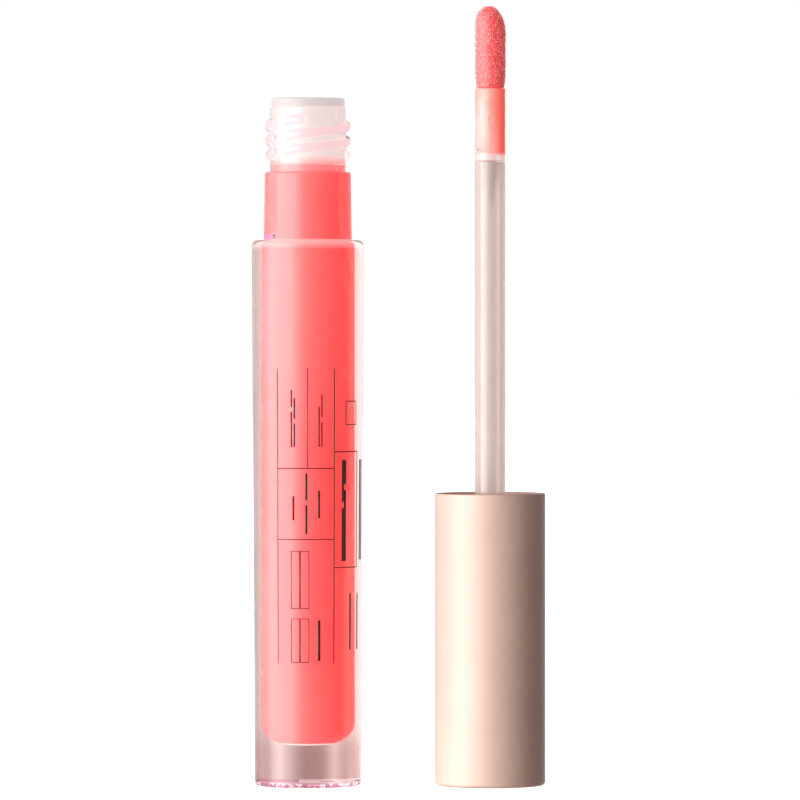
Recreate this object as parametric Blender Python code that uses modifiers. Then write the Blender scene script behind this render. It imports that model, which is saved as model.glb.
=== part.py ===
"""Lip gloss tube: a clear bottle with its wiper and gloss, beside its capped applicator.

Metres, +Z up. The origin is on the floor, midway between the bottle's axis and the
applicator's. The applicator stands upside down on its cap, with the wand pointing up.
Its heights are worked out in the closed tube and turned over by at_rest().
"""

import math

import bmesh
import bpy
from mathutils import Vector

MM = 0.001

# Clearances
FIT_GAP = 0.3 * MM  # between pieces that touch on the real object
PLUG_GAP = 0.12 * MM  # round the tapered plug in the rod
FILM_GAP = 0.12 * MM  # under a film of gloss
WIPE_GAP = 0.2 * MM  # round the wand in the wiper's lip
THREAD_GAP = 0.25 * MM  # from the neck thread's crest to the liner
COLLAR_GAP = 0.9 * MM  # from the collar to the overcap
LUG_GAP = 0.35 * MM  # from the lug to the overcap
CLOSE_GAP = 0.3 * MM  # from the shoulder to the closed cap's mouth
TIP_CLEARANCE = 2.8 * MM  # from the chamber's floor to the tip, closed
TIP_LIFT = 4.0 * MM  # from the wiper to the tip, turned over above the bottle

# Layout
AXIS_GAP = 26.6 * MM
BOTTLE_X = -AXIS_GAP / 2
WAND_X = AXIS_GAP / 2

# Bottle
BORE_R = 4.5 * MM
NECK_WALL = 1.0 * MM
THREAD_DEPTH = 0.7 * MM
BODY_PROUD = 0.1 * MM  # the body's radius over the cap's
BODY_DRAFT = 0.44 * MM
COLLAR_DRAFT = 0.14 * MM
BODY_H = 79.5 * MM
COLLAR_H = 9.9 * MM
NECK_H = 9.5 * MM
FLOOR_T = 6.0 * MM
SHOULDER_ROUND = 0.8 * MM
BASE_ROUND = 0.5 * MM
COLLAR_ROUND = 0.3 * MM
CHAMBER_ROUND = 3.0 * MM
RECESS_DEPTH = 0.4 * MM
RECESS_RIM = 1.6 * MM  # the width of the ring that the bottle stands on

# Screw thread, right-handed, with two starts
STARTS = 2
PITCH = 25.4 / 12 * MM  # from one ridge to the next
NECK_THREAD_TURNS = 1.25
THREAD_INSET = 1.75 * MM  # from the neck's top down to the thread's end
THREAD_BREAKS = (math.radians(-133), math.radians(47))  # the mould's parting lines
BREAK_HALF = math.radians(7)
CAP_THREAD_DEPTH = 0.42 * MM
CAP_THREAD_TURNS = 0.85
CAP_THREAD_START = 2.4 * MM  # above the neck thread's lower end, closed
CLOSING_TURNS = 0.75

# Lug at the collar's foot
LUG_ANGLE = math.radians(-147)
LUG_WIDTH = 2.2 * MM
LUG_H = 1.0 * MM
LUG_ROOT = 0.4 * MM  # how far it sinks into the collar and the shoulder

# Wiper
FLANGE_T = 1.0 * MM
FLANGE_INSET = 0.1 * MM
SLEEVE_WALL = 0.6 * MM
MOUTH_DEPTH = 4.8 * MM
WIPER_L = 9.7 * MM
LIP_WALL = 0.45 * MM

# Cap
CAP_H = 42.6 * MM
OVERCAP_WALL = 0.75 * MM
OVERCAP_END = 1.2 * MM
OVERCAP_ROUND = 0.6 * MM
MOUTH_ROUND = 0.2 * MM
INNER_WALL = 0.55 * MM
ROOF_T = 1.0 * MM
SOCKET_DEPTH = 8.2 * MM
SOCKET_WALL = 1.4 * MM
SOCKET_END = 1.2 * MM
RING_T = 0.8 * MM
RING_INSET = 0.2 * MM  # from the flange's edge to the ring's
RING_W = 2.0 * MM

# Wand
ROD_R = 2.2 * MM
FILM_T = 0.18 * MM
HEAD_L = 1.4 * MM  # the bare end of the stem, next to the rod
STEM_L = 10.75 * MM
FLOCK_L = 11.9 * MM
FLOCK_SPREAD = 0.05 * MM  # the loaded flock's radius over the rod's
NOSE_R = 1.2 * MM
NOSE_L = 8.5 * MM
PLUG_L = 5.75 * MM
PLUG_TOP_R = 0.96 * MM
PLUG_END_R = 0.41 * MM
SLANT_L = 3.9 * MM  # how far the slanted face reaches down the tip
SLANT_TOP_X = 0.5 * MM  # from the wand's axis to the face's upper edge
END_ROUND = 1.75 * MM

# Radii that follow from the bottle's bore outwards
NECK_R = BORE_R + NECK_WALL
THREAD_CREST_R = NECK_R + THREAD_DEPTH
INNER_BORE_R = THREAD_CREST_R + THREAD_GAP
INNER_CAP_R = INNER_BORE_R + INNER_WALL
OVERCAP_BORE_R = INNER_CAP_R + FIT_GAP
OVERCAP_R = OVERCAP_BORE_R + OVERCAP_WALL
BODY_TOP_R = OVERCAP_R + BODY_PROUD
BODY_BASE_R = BODY_TOP_R - BODY_DRAFT
COLLAR_BASE_R = OVERCAP_BORE_R - COLLAR_GAP
COLLAR_TOP_R = COLLAR_BASE_R - COLLAR_DRAFT
SOCKET_R = ROD_R + FIT_GAP
WAND_MAX_R = ROD_R + FLOCK_SPREAD
LIP_R = WAND_MAX_R + WIPE_GAP
SLEEVE_R = BORE_R - FIT_GAP

# Heights in the closed tube
COLLAR_TOP_Z = BODY_H + COLLAR_H
NECK_TOP_Z = COLLAR_TOP_Z + NECK_H
WIPER_TOP_Z = NECK_TOP_Z + FIT_GAP + FLANGE_T
WIPER_END_Z = WIPER_TOP_Z - WIPER_L
GLOSS_TOP_Z = WIPER_END_Z - FIT_GAP
LEAD = STARTS * PITCH
THREAD_START_Z = NECK_TOP_Z - THREAD_INSET - NECK_THREAD_TURNS * LEAD
CLOSED_H = BODY_H + CLOSE_GAP + CAP_H
LINER_MOUTH_Z = COLLAR_TOP_Z + FIT_GAP
RING_Z = WIPER_TOP_Z + FIT_GAP
ROOF_Z = RING_Z + RING_T + FIT_GAP
SOCKET_FLOOR_Z = ROOF_Z + SOCKET_DEPTH
TIP_Z = FLOOR_T + TIP_CLEARANCE
FLOCK_FOOT_Z = TIP_Z + FLOCK_L
ROD_END_Z = FLOCK_FOOT_Z + STEM_L

# The way in: over the top, straight down, then the last turns of the thread
CLOSING_TRAVEL = CLOSING_TURNS * LEAD
FLIP_Z = (WIPER_TOP_Z + TIP_LIFT + CLOSED_H - TIP_Z) / 2
INSERT_TRAVEL = 2 * FLIP_Z - CLOSED_H - CLOSING_TRAVEL

# Facets
SIDES = 40
ARC_STEP = math.radians(30)
BEAD_POINTS_PER_TURN = 24
MERGE = 0.00001


def at_rest(z):
    """A height in the closed tube, as the height where the upturned applicator has it."""
    return CLOSED_H - z


def clear_scene():
    for obj in list(bpy.data.objects):
        bpy.data.objects.remove(obj, do_unlink=True)


def new_collection(name):
    collection = bpy.data.collections.new(name)
    bpy.context.scene.collection.children.link(collection)
    return collection


def new_material(name, color, roughness, alpha=1.0, transmission=0.0):
    material = bpy.data.materials.new(name)
    material.use_nodes = True
    shader = material.node_tree.nodes["Principled BSDF"]
    shader.inputs["Base Color"].default_value = (*color, 1.0)
    shader.inputs["Roughness"].default_value = roughness
    shader.inputs["Metallic"].default_value = 0.0
    shader.inputs["Alpha"].default_value = alpha
    shader.inputs["Transmission Weight"].default_value = transmission
    return material


def rounded(corners):
    """A profile's points from corners (radius, height) or (radius, height, rounding)."""
    points = []
    for i, corner in enumerate(corners):
        here = Vector(corner[:2])
        rounding = corner[2] if len(corner) > 2 else 0.0
        if not rounding:
            points.append(here)
            continue
        to_last = (Vector(corners[i - 1][:2]) - here).normalized()
        to_next = (Vector(corners[(i + 1) % len(corners)][:2]) - here).normalized()
        half = to_last.angle(to_next) / 2
        centre = here + (to_last + to_next).normalized() * rounding / math.sin(half)
        first = here + to_last * rounding / math.tan(half) - centre
        last = here + to_next * rounding / math.tan(half) - centre
        sweep = first.angle_signed(last)
        steps = max(2, round(abs(sweep) / ARC_STEP))
        for k in range(steps + 1):
            turn = -sweep * k / steps
            cos, sin = math.cos(turn), math.sin(turn)
            arm = Vector((first.x * cos - first.y * sin, first.x * sin + first.y * cos))
            points.append(centre + arm)
    return points


def turned(name, corners, x, collection, material, closed=False):
    """A body turned about the upright axis at x. Its profile runs down its outer side."""
    points = rounded(corners)
    mesh = bpy.data.meshes.new(name)
    edges = [(i, i + 1) for i in range(len(points) - 1)]
    if closed:
        edges.append((len(points) - 1, 0))
    mesh.from_pydata([(p.x, 0, p.y) for p in points], edges, [])
    obj = bpy.data.objects.new(name, mesh)
    obj.location.x = x
    collection.objects.link(obj)
    mesh.materials.append(material)
    screw = obj.modifiers.new("turn", "SCREW")
    screw.steps = SIDES
    screw.render_steps = SIDES
    screw.use_merge_vertices = True
    screw.merge_threshold = MERGE
    screw.use_smooth_shade = True
    return obj


def as_helper(obj):
    obj.hide_render = True
    obj.display_type = "WIRE"


def joined(obj, helper):
    union = obj.modifiers.new(helper.name, "BOOLEAN")
    union.operation = "UNION"
    union.solver = "EXACT"
    union.object = helper


def cut(obj, helper):
    difference = obj.modifiers.new(helper.name, "BOOLEAN")
    difference.operation = "DIFFERENCE"
    difference.solver = "EXACT"
    difference.object = helper


def mesh_from_curve(obj, collection):
    """The curve as a mesh object with welded caps, in the curve's place."""
    bpy.context.view_layer.update()
    evaluated = obj.evaluated_get(bpy.context.evaluated_depsgraph_get())
    mesh = bpy.data.meshes.new_from_object(evaluated)
    work = bmesh.new()
    work.from_mesh(mesh)
    bmesh.ops.remove_doubles(work, verts=work.verts, dist=MERGE / 10)
    bmesh.ops.recalc_face_normals(work, faces=work.faces)
    work.to_mesh(mesh)
    work.free()
    name = obj.name
    made = bpy.data.objects.new(name + "_mesh", mesh)
    made.matrix_world = obj.matrix_world
    collection.objects.link(made)
    bpy.data.objects.remove(obj, do_unlink=True)
    as_helper(made)
    return made


def thread_bead(name, x, radius, depth, height_at, first, last, collection):
    """A round bead along a helix from angle first to last, with rounded ends."""
    count = max(6, round((last - first) / math.tau * BEAD_POINTS_PER_TURN))
    angles = [first + (last - first) * k / count for k in range(count + 1)]
    nose = depth / radius
    angles = [first - nose / 2] + angles + [last + nose / 2]
    curve = bpy.data.curves.new(name, "CURVE")
    curve.dimensions = "3D"
    curve.bevel_depth = depth
    curve.bevel_resolution = 2
    curve.use_fill_caps = True
    spline = curve.splines.new("POLY")
    spline.points.add(len(angles) - 1)
    for point, angle in zip(spline.points, angles):
        place = (radius * math.cos(angle), radius * math.sin(angle), height_at(angle))
        point.co = (*place, 1)
    spline.points[0].radius = 0.5
    spline.points[-1].radius = 0.5
    obj = bpy.data.objects.new(name, curve)
    obj.location.x = x
    collection.objects.link(obj)
    return mesh_from_curve(obj, collection)


def neck_thread_height(angle):
    """The height of the first start's ridge, where angle 0 is its lower end."""
    return THREAD_START_Z + LEAD * angle / math.tau


def neck_thread_runs(first):
    """The angles of one start's runs, from first up, between the mould's parting lines."""
    end = first + NECK_THREAD_TURNS * math.tau
    breaks = []
    for line in THREAD_BREAKS:
        angle = first + (line - first) % math.tau
        while angle < end:
            breaks.append(angle)
            angle += math.tau
    edges = [first, *sorted(breaks), end]
    for start, stop in zip(edges, edges[1:]):
        start += BREAK_HALF if start > first else 0.0
        stop -= BREAK_HALF if stop < end else 0.0
        if stop - start > BREAK_HALF * 2:
            yield start, stop


def make_bottle(parts, helpers):
    material = new_material("clear_plastic", (0.93, 0.84, 0.84), 0.05, 0.35, 0.9)
    recess_r = BODY_BASE_R - BASE_ROUND - RECESS_RIM
    bottle = turned(
        "bottle",
        [
            (0, FLOOR_T),
            (BORE_R, FLOOR_T, CHAMBER_ROUND),
            (BORE_R, NECK_TOP_Z),
            (NECK_R, NECK_TOP_Z, COLLAR_ROUND),
            (NECK_R, COLLAR_TOP_Z),
            (COLLAR_TOP_R, COLLAR_TOP_Z, COLLAR_ROUND),
            (COLLAR_BASE_R, BODY_H),
            (BODY_TOP_R, BODY_H, SHOULDER_ROUND),
            (BODY_BASE_R, 0, BASE_ROUND),
            (recess_r, 0),
            (recess_r - RECESS_DEPTH, RECESS_DEPTH),
            (0, RECESS_DEPTH),
        ],
        BOTTLE_X,
        parts,
        material,
    )
    for k in range(STARTS):
        first = k * math.tau / STARTS
        for start, stop in neck_thread_runs(first):
            bead = thread_bead(
                f"neck_thread_{k + 1}_{math.degrees(start):.0f}",
                BOTTLE_X,
                NECK_R,
                THREAD_DEPTH,
                lambda angle, first=first: neck_thread_height(angle - first),
                start,
                stop,
                helpers,
            )
            joined(bottle, bead)
    joined(bottle, make_lug(helpers))


def make_lug(helpers):
    inner = COLLAR_BASE_R - LUG_ROOT
    outer = OVERCAP_BORE_R - LUG_GAP
    middle = (inner + outer) / 2
    bpy.ops.mesh.primitive_cube_add(size=1)
    lug = bpy.context.object
    lug.name = "lug"
    for old in list(lug.users_collection):
        old.objects.unlink(lug)
    helpers.objects.link(lug)
    for vertex in lug.data.vertices:
        vertex.co.x *= outer - inner
        vertex.co.y *= LUG_WIDTH
        vertex.co.z *= LUG_H + LUG_ROOT
    place = (middle * math.cos(LUG_ANGLE), middle * math.sin(LUG_ANGLE))
    lug.location = (BOTTLE_X + place[0], place[1], BODY_H + (LUG_H - LUG_ROOT) / 2)
    lug.rotation_euler.z = LUG_ANGLE
    as_helper(lug)
    return lug


def make_wiper(parts):
    material = new_material("soft_plastic", (0.95, 0.88, 0.88), 0.3, 0.6)
    flange_r = NECK_R - FLANGE_INSET
    mouth_r = SLEEVE_R - SLEEVE_WALL
    turned(
        "wiper",
        [
            (flange_r, WIPER_TOP_Z, COLLAR_ROUND),
            (flange_r, WIPER_TOP_Z - FLANGE_T),
            (SLEEVE_R, WIPER_TOP_Z - FLANGE_T),
            (SLEEVE_R, WIPER_TOP_Z - MOUTH_DEPTH),
            (LIP_R + LIP_WALL, WIPER_END_Z),
            (LIP_R, WIPER_END_Z),
            (mouth_r, WIPER_TOP_Z - MOUTH_DEPTH),
            (mouth_r, WIPER_TOP_Z),
        ],
        BOTTLE_X,
        parts,
        material,
        closed=True,
    )


def make_gloss(parts):
    material = new_material("gloss_liquid", (1.0, 0.33, 0.34), 0.1)
    radius = BORE_R - FIT_GAP
    floor = FLOOR_T + FIT_GAP
    turned(
        "gloss",
        [
            (0, GLOSS_TOP_Z),
            (radius, GLOSS_TOP_Z),
            (radius, floor, CHAMBER_ROUND - FIT_GAP),
            (0, floor),
        ],
        BOTTLE_X,
        parts,
        material,
    )


def make_overcap(parts):
    material = new_material("satin_beige", (0.87, 0.72, 0.61), 0.42)
    turned(
        "overcap",
        [
            (0, OVERCAP_END),
            (OVERCAP_BORE_R, OVERCAP_END),
            (OVERCAP_BORE_R, CAP_H, MOUTH_ROUND),
            (OVERCAP_R, CAP_H, MOUTH_ROUND),
            (OVERCAP_R, 0, OVERCAP_ROUND),
            (0, 0),
        ],
        WAND_X,
        parts,
        material,
    )


def cap_thread_height(angle):
    """The cap thread's height at an angle, upturned, half a pitch off the neck's when closed.

    Closing turns the cap by the closing turns and then over, which carries an angle a
    to pi - closing turn - a, seen in the bottle's frame.
    """
    closed_angle = math.pi - CLOSING_TURNS * math.tau - angle
    return at_rest(neck_thread_height(closed_angle) + PITCH / 2)


def make_inner_cap(parts, helpers):
    material = new_material("liner_plastic", (0.90, 0.87, 0.85), 0.35)
    roof = at_rest(ROOF_Z)
    mouth = at_rest(LINER_MOUTH_Z)
    floor = at_rest(SOCKET_FLOOR_Z)
    socket_outer = SOCKET_R + SOCKET_WALL
    liner = turned(
        "inner_cap",
        [
            (0, floor),
            (SOCKET_R, floor),
            (SOCKET_R, roof),
            (INNER_BORE_R, roof),
            (INNER_BORE_R, mouth),
            (INNER_CAP_R, mouth),
            (INNER_CAP_R, roof - ROOF_T),
            (socket_outer, roof - ROOF_T),
            (socket_outer, floor - SOCKET_END),
            (0, floor - SOCKET_END),
        ],
        WAND_X,
        parts,
        material,
    )
    # upturned, the thread's last angle is its lower end in the closed tube
    lower_end = at_rest(THREAD_START_Z + CAP_THREAD_START)
    last = (lower_end - cap_thread_height(0)) / LEAD * math.tau
    first = last - CAP_THREAD_TURNS * math.tau
    for k in range(STARTS):
        shift = k * math.tau / STARTS
        bead = thread_bead(
            f"cap_thread_{k + 1}",
            WAND_X,
            INNER_BORE_R,
            CAP_THREAD_DEPTH,
            lambda angle, shift=shift: cap_thread_height(angle - shift),
            first + shift,
            last + shift,
            helpers,
        )
        joined(liner, bead)


def make_seal_ring(parts):
    material = new_material("foam_ring", (0.93, 0.92, 0.90), 0.7)
    outer = NECK_R - FLANGE_INSET - RING_INSET
    top = at_rest(RING_Z)
    turned(
        "seal_ring",
        [(outer, top), (outer, top - RING_T), (outer - RING_W, top - RING_T), (outer - RING_W, top)],
        WAND_X,
        parts,
        material,
        closed=True,
    )


def make_wand_rod(parts):
    material = new_material("rod_plastic", (0.86, 0.80, 0.77), 0.2, 0.8)
    top = at_rest(ROD_END_Z)
    foot = at_rest(SOCKET_FLOOR_Z) + FIT_GAP
    turned(
        "wand_rod",
        [
            (0, top - PLUG_L - PLUG_GAP),
            (PLUG_END_R + PLUG_GAP, top - PLUG_L - PLUG_GAP),
            (PLUG_TOP_R + PLUG_GAP, top),
            (ROD_R, top),
            (ROD_R, foot),
            (0, foot),
        ],
        WAND_X,
        parts,
        material,
    )


def make_tip_core(parts):
    material = new_material("core_plastic", (0.90, 0.84, 0.81), 0.25, 0.8)
    rod_top = at_rest(ROD_END_Z)
    foot = rod_top + PLUG_GAP
    flock_foot = at_rest(FLOCK_FOOT_Z)
    coated_r = ROD_R - FILM_T - FILM_GAP
    turned(
        "tip_core",
        [
            (0, flock_foot + NOSE_L),
            (NOSE_R, flock_foot + NOSE_L, NOSE_R * 0.6),
            (NOSE_R, flock_foot - FIT_GAP),
            (coated_r, flock_foot - FIT_GAP),
            (coated_r, rod_top + HEAD_L),
            (ROD_R, rod_top + HEAD_L),
            (ROD_R, foot),
            (PLUG_TOP_R, foot),
            (PLUG_END_R, rod_top - PLUG_L),
            (0, rod_top - PLUG_L),
        ],
        WAND_X,
        parts,
        material,
    )


def make_stem_gloss(parts):
    material = new_material("stem_gloss_liquid", (1.0, 0.52, 0.46), 0.08)
    foot = at_rest(ROD_END_Z) + HEAD_L + FILM_GAP
    top = at_rest(FLOCK_FOOT_Z) - FIT_GAP
    inner = ROD_R - FILM_T
    turned(
        "stem_gloss",
        [(ROD_R, top), (ROD_R, foot), (inner, foot), (inner, top)],
        WAND_X,
        parts,
        material,
        closed=True,
    )


def make_flocked_tip(parts, helpers):
    material = new_material("flock", (1.0, 0.45, 0.45), 0.8)
    foot = at_rest(FLOCK_FOOT_Z)
    end = at_rest(TIP_Z)
    radius = WAND_MAX_R - FILM_T - FILM_GAP
    socket_r = NOSE_R + FIT_GAP
    socket_end = foot + NOSE_L + FIT_GAP
    tip = turned(
        "flocked_tip",
        [
            (0, end),
            (radius, end, END_ROUND),
            (radius, foot),
            (socket_r, foot),
            (socket_r, socket_end, NOSE_R * 0.6),
            (0, socket_end),
        ],
        WAND_X,
        parts,
        material,
    )
    cut(tip, slant_cutter(radius, end, helpers))


def slant_cutter(radius, end, helpers):
    """A block whose lower face is the tip's slanted face, on the +X side."""
    lower = Vector((WAND_X + radius, 0, end - SLANT_L))
    upper = Vector((WAND_X + SLANT_TOP_X, 0, end))
    along = (upper - lower).normalized()
    outward = Vector((along.z, 0, -along.x))
    size = FLOCK_L
    bpy.ops.mesh.primitive_cube_add(size=size)
    block = bpy.context.object
    block.name = "tip_slant"
    for old in list(block.users_collection):
        old.objects.unlink(block)
    helpers.objects.link(block)
    block.location = (lower + upper) / 2 + outward * size / 2
    block.rotation_euler.y = math.atan2(outward.x, outward.z)
    as_helper(block)
    return block


def make_tip_gloss(parts):
    material = new_material("tip_gloss_liquid", (0.98, 0.30, 0.32), 0.12)
    foot = at_rest(FLOCK_FOOT_Z) + FIT_GAP
    top = at_rest(TIP_Z) - SLANT_L - FIT_GAP
    inner = WAND_MAX_R - FILM_T
    turned(
        "tip_gloss",
        [(WAND_MAX_R, top), (WAND_MAX_R, foot), (inner, foot), (inner, top)],
        WAND_X,
        parts,
        material,
        closed=True,
    )


def main():
    clear_scene()
    parts = new_collection("lip_gloss_tube")
    helpers = new_collection("helpers")
    make_bottle(parts, helpers)
    make_wiper(parts)
    make_gloss(parts)
    make_overcap(parts)
    make_inner_cap(parts, helpers)
    make_seal_ring(parts)
    make_wand_rod(parts)
    make_tip_core(parts)
    make_stem_gloss(parts)
    make_flocked_tip(parts, helpers)
    make_tip_gloss(parts)
    print("flip axis height, m:", round(FLIP_Z, 6))
    print("insertion travel, m:", round(INSERT_TRAVEL, 6))
    print("thread travel, m:", round(CLOSING_TRAVEL, 6))


main()
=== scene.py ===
"""The looks of a lip gloss tube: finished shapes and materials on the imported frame.

Metres, +Z up, -Y towards the viewer. The bottle stands on the left. The applicator stands
upside down on its cap, on the right. Every piece is turned about one of those two axes.
"""

import math

import bmesh
import bpy
import numpy as np
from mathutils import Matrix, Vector


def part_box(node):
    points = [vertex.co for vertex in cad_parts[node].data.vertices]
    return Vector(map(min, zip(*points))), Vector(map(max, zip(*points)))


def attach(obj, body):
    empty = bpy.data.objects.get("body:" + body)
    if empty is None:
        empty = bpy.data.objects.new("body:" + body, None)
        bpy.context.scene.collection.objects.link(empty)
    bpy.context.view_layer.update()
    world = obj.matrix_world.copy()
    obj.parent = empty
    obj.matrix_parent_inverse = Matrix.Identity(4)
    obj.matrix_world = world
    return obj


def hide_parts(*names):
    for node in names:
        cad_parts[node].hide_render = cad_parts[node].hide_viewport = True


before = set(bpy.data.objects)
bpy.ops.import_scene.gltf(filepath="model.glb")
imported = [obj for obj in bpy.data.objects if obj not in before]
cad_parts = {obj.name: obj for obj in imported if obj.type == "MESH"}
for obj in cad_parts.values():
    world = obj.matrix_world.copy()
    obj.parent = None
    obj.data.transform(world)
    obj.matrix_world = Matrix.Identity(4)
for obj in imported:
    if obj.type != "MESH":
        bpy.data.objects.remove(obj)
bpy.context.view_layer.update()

MM = 0.001


def place_of(node):
    """A turned node's axis, outer radius, foot and top."""
    low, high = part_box(node)
    return (low.x + high.x) / 2, (high.x - low.x) / 2, low.z, high.z


# Places and sizes from the frame
BOTTLE_X, BODY_TOP_R, _, NECK_TOP_Z = place_of("bottle")
WAND_X, OVERCAP_R, _, CAP_H = place_of("overcap")
_, FLANGE_R, WIPER_END_Z, WIPER_TOP_Z = place_of("wiper")
_, GLOSS_CAD_R, GLOSS_FOOT_Z, GLOSS_TOP_Z = place_of("gloss")
_, INNER_CAP_R, LINER_FOOT_Z, LINER_MOUTH_Z = place_of("inner_cap")
_, RING_R, RING_FOOT_Z, RING_TOP_Z = place_of("seal_ring")
_, ROD_R, ROD_FOOT_Z, ROD_TOP_Z = place_of("wand_rod")
_, CORE_R, PLUG_END_Z, NOSE_TOP_Z = place_of("tip_core")
_, STEM_FILM_R, STEM_FILM_FOOT_Z, STEM_FILM_TOP_Z = place_of("stem_gloss")
_, HEAD_R, _, _ = place_of("tip_gloss")
_, _, FLOCK_FOOT_Z, TIP_TOP_Z = place_of("flocked_tip")

# Gaps that the frame keeps between pieces that really touch
FIT_GAP = 0.3 * MM
PLUG_GAP = 0.12 * MM
WET_OVERLAP = 0.06 * MM  # how far the bottle's wall reaches into what it wets

# Bottle
BORE_R = GLOSS_CAD_R + FIT_GAP
NECK_R = FLANGE_R + 0.1 * MM
NECK_H = 9.5 * MM
COLLAR_H = 9.9 * MM
COLLAR_TOP_Z = NECK_TOP_Z - NECK_H
BODY_H = COLLAR_TOP_Z - COLLAR_H
COLLAR_BASE_R = 6.4 * MM
COLLAR_TOP_R = 6.26 * MM
BODY_BASE_R = BODY_TOP_R - 0.44 * MM
CHAMBER_FLOOR_Z = GLOSS_FOOT_Z - FIT_GAP
CHAMBER_ROUND = 3.0 * MM
SHOULDER_ROUND = 0.8 * MM
BASE_ROUND = 0.5 * MM
COLLAR_ROUND = 0.3 * MM
RECESS_R = BODY_BASE_R - BASE_ROUND - 1.6 * MM
RECESS_DEPTH = 0.4 * MM
RING_STEP = 0.1 * MM  # between the rings that carry the neck's thread and the lug

# Wiper: a flange on the rim, a skirt down to the gloss, and a cone inside it
SKIRT_R = BORE_R - 0.5 * MM
MOUTH_R = GLOSS_CAD_R - 0.6 * MM
CONE_TOP_Z = WIPER_TOP_Z - 4.8 * MM
CONE_WALL = 0.6 * MM
LIP_R = HEAD_R + 0.2 * MM  # just clear of the wand's widest part
LIP_WALL = 0.45 * MM

# Gloss
GLOSS_DIP = 0.6 * MM  # how far below the CAD's level its middle lies
GLOSS_GAP = 0.01 * MM  # below the wiper's foot

# Neck thread: two starts, right-handed, broken at the mould's parting lines
STARTS = 2
LEAD = STARTS * 25.4 / 12 * MM
THREAD_TURNS = 1.25
THREAD_FOOT_Z = NECK_TOP_Z - 1.75 * MM - THREAD_TURNS * LEAD
THREAD_DEPTH = 0.7 * MM
THREAD_FOOT_HALF = 1.0 * MM
THREAD_CREST_HALF = 0.28 * MM
THREAD_BREAKS = (math.radians(-133), math.radians(47))
BREAK_HALF = math.radians(5)
THREAD_FADE = math.radians(7)

# Lug at the collar's foot
LUG_ANGLE = math.radians(-147)
LUG_HALF = 1.1 * MM
LUG_H = 1.0 * MM
LUG_R = 6.95 * MM
LUG_EDGE = 0.25 * MM
LUG_RING_Z = BODY_H + LUG_H * 1.35  # a ring just above the lug keeps its facets off the collar

# Cap
OVERCAP_BORE_R = INNER_CAP_R + FIT_GAP
OVERCAP_END = 1.2 * MM
OVERCAP_ROUND = 0.6 * MM
LINER_BORE_R = INNER_CAP_R - 0.55 * MM
LINER_ROOF_Z = 20.8 * MM
SOCKET_R = ROD_R + FIT_GAP
SOCKET_OUTER_R = SOCKET_R + 1.4 * MM
LINER_ROOF = 1.0 * MM
RING_WIDTH = 2.0 * MM
CLOSED_H = BODY_H + FIT_GAP + CAP_H
CLOSING_TURNS = 0.75

# Liner's thread, which stands inwards
LINER_THREAD_DEPTH = 0.42 * MM
LINER_THREAD_HALF = 0.55 * MM
LINER_THREAD_FLANK = 0.35 * MM
LINER_THREAD_FADE = 0.1 * MM
LINER_THREAD_FOOT = THREAD_FOOT_Z + 2.4 * MM  # on the closed bottle, as is its top
LINER_THREAD_TOP = LINER_THREAD_FOOT + 0.85 * LEAD
LINER_RING_STEP = 0.12 * MM

# Wand
PLUG_TOP_R = 0.96 * MM
PLUG_END_R = 0.41 * MM
STEM_HEAD_H = 1.4 * MM
COATED_R = STEM_FILM_R - 0.3 * MM  # the stem, under the film
NOSE_R = 1.2 * MM  # the stem, under the flock

# Film of gloss on the stem, with a thick rim and a bubble
FILM_T = 0.28 * MM
FILM_OVER = 0.2 * MM  # how far it runs on towards the flock
FILM_DROP = 0.25 * MM
FILM_SLOPE = 0.45 * MM
FILM_WAVES = (0.12 * MM, 0.05 * MM)
FILM_NOTCH = 0.55 * MM
FILM_RIPPLE = 0.025 * MM
FILM_RING_STEP = 0.13 * MM
BUBBLE_ANGLE = math.radians(-85)
BUBBLE_DOWN = 4.1 * MM
BUBBLE_R = 0.62 * MM
BUBBLE_EDGE = 0.14 * MM
BUBBLE_RISE = 0.05 * MM

# Flocked head: short and round on the left, long and slanted on the right
SLANT_L = 3.9 * MM
TIP_RUN = SLANT_L * 1.3  # how much of the rows' way goes into the tip
APEX_X = -0.35 * MM
LEFT_RISE = 2.5 * MM
DEPTH_RISE = 3.0 * MM
WAIST = 0.07
WAIST_H = 1.3 * MM
PILE = 0.07 * MM  # room for the fibres within the head's radius
HEAD_ROWS = 90
HEAD_SIDES = 96
FIBRES = 3000
FIBRE_L = (0.16 * MM, 0.42 * MM)
FIBRE_HALF_W = 0.026 * MM
FIBRE_ROOT = 0.02 * MM
FIBRE_STAND = 0.42  # how far it stands out, against how far it lies along

# Print: a ruled panel, with plain bars where a label has its words
PRINT_RISE = 0.005 * MM
PRINT_T = 0.02 * MM
RULE_W = 0.15 * MM
FRAME_W = 0.13 * MM
PATCH_STEP = math.radians(2)
PANEL_FOOT, PANEL_TOP = 18.1 * MM, 60.9 * MM
CROSS_LOW, CROSS_HIGH = 36.1 * MM, 46.4 * MM
SIDE_LOW, SIDE_HIGH = 32.0 * MM, 48.8 * MM
LEFT_RULE, MIDDLE_RULE, RIGHT_RULE, EDGE_RULE = -32.5, 0.5, 29.5, 64  # degrees from the front

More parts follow.
